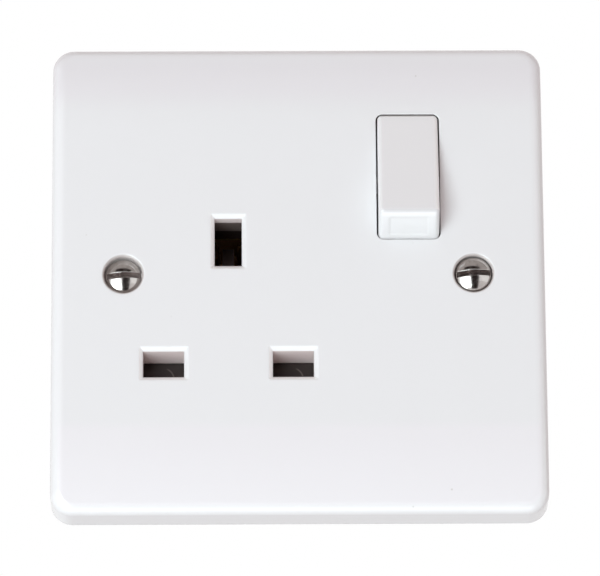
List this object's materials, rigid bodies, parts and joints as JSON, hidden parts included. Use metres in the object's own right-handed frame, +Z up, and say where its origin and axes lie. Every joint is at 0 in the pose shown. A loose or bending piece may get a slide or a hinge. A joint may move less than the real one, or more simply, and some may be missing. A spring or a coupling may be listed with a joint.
{
  "type": "switched wall socket",
  "caption": "Square white switched wall socket with a tilting rocker, shuttered rectangular pin apertures, slotted fixing screws and a dark moulded rear base with screw terminals.",
  "frame": {"origin": "centre of the plate's rear rim, on the wall plane", "axes": "+X right seen from the front, +Y into the wall, +Z up; the front faces -Y"},
  "size_m": [0.085, 0.0306, 0.085],
  "materials": {
    "white_face": "gloss",
    "white_rocker": "gloss",
    "dark_base": "satin",
    "dark_inner": "satin",
    "spring_wire": "bright",
    "nylon": "satin",
    "brass_strip": "satin",
    "bronze_clip": "satin",
    "brass_block": "machined",
    "silver_tip": "satin",
    "plated_screw": "zinc plated",
    "nickel_screw": "nickel plated"
  },
  "bodies": {
    "housing": {"front_plate": "white_face", "rear_base": "dark_base", "contact_cover": "dark_inner", "shutter_spring": "spring_wire", "fixed_contact": "brass_strip", "fixed_tip": "silver_tip", "fulcrum_bracket": "brass_strip", "line_contact": "bronze_clip", "neutral_contact": "bronze_clip", "earth_contact": "bronze_clip", "line_terminal": "brass_block", "neutral_terminal": "brass_block", "earth_terminals": "brass_block", "terminal_screws": "plated_screw", "assembly_screws": "plated_screw", "fixing_screws": "nickel_screw"},
    "rocker": {"rocker": "white_rocker", "plunger_spring": "spring_wire"},
    "plunger": {"plunger": "nylon"},
    "see_saw": {"moving_contact": "brass_strip", "moving_tip": "silver_tip"},
    "shutter": {"shutter": "dark_inner"}
  },
  "joints": [
    {"name": "rocker_tilt", "type": "hinge", "parent": "housing", "child": "rocker", "pos_m": [0.0191, -0.00362, 0.018], "axis": [1, 0, 0], "range_deg": [0, 28]},
    {"name": "plunger_slide", "type": "slide", "parent": "rocker", "child": "plunger", "axis": [0, -0.9703, 0.2419], "range_m": [0, 0.001], "stiffness_N_per_m": 60, "springref_m": -0.004, "deforming": ["plunger_spring"]},
    {"name": "contact_tilt", "type": "hinge", "parent": "housing", "child": "see_saw", "pos_m": [0.0191, 0.00662, 0.018], "axis": [1, 0, 0], "range_deg": [-22, 0]},
    {"name": "shutter_slide", "type": "slide", "parent": "housing", "child": "shutter", "axis": [0, 0, -1], "range_m": [0, 0.00588], "stiffness_N_per_m": 60, "springref_m": -0.004, "deforming": ["shutter_spring"]}
  ],
  "couplings": [
    {"joint": "contact_tilt", "follows": "rocker_tilt", "ratio": -0.78571}
  ]
}
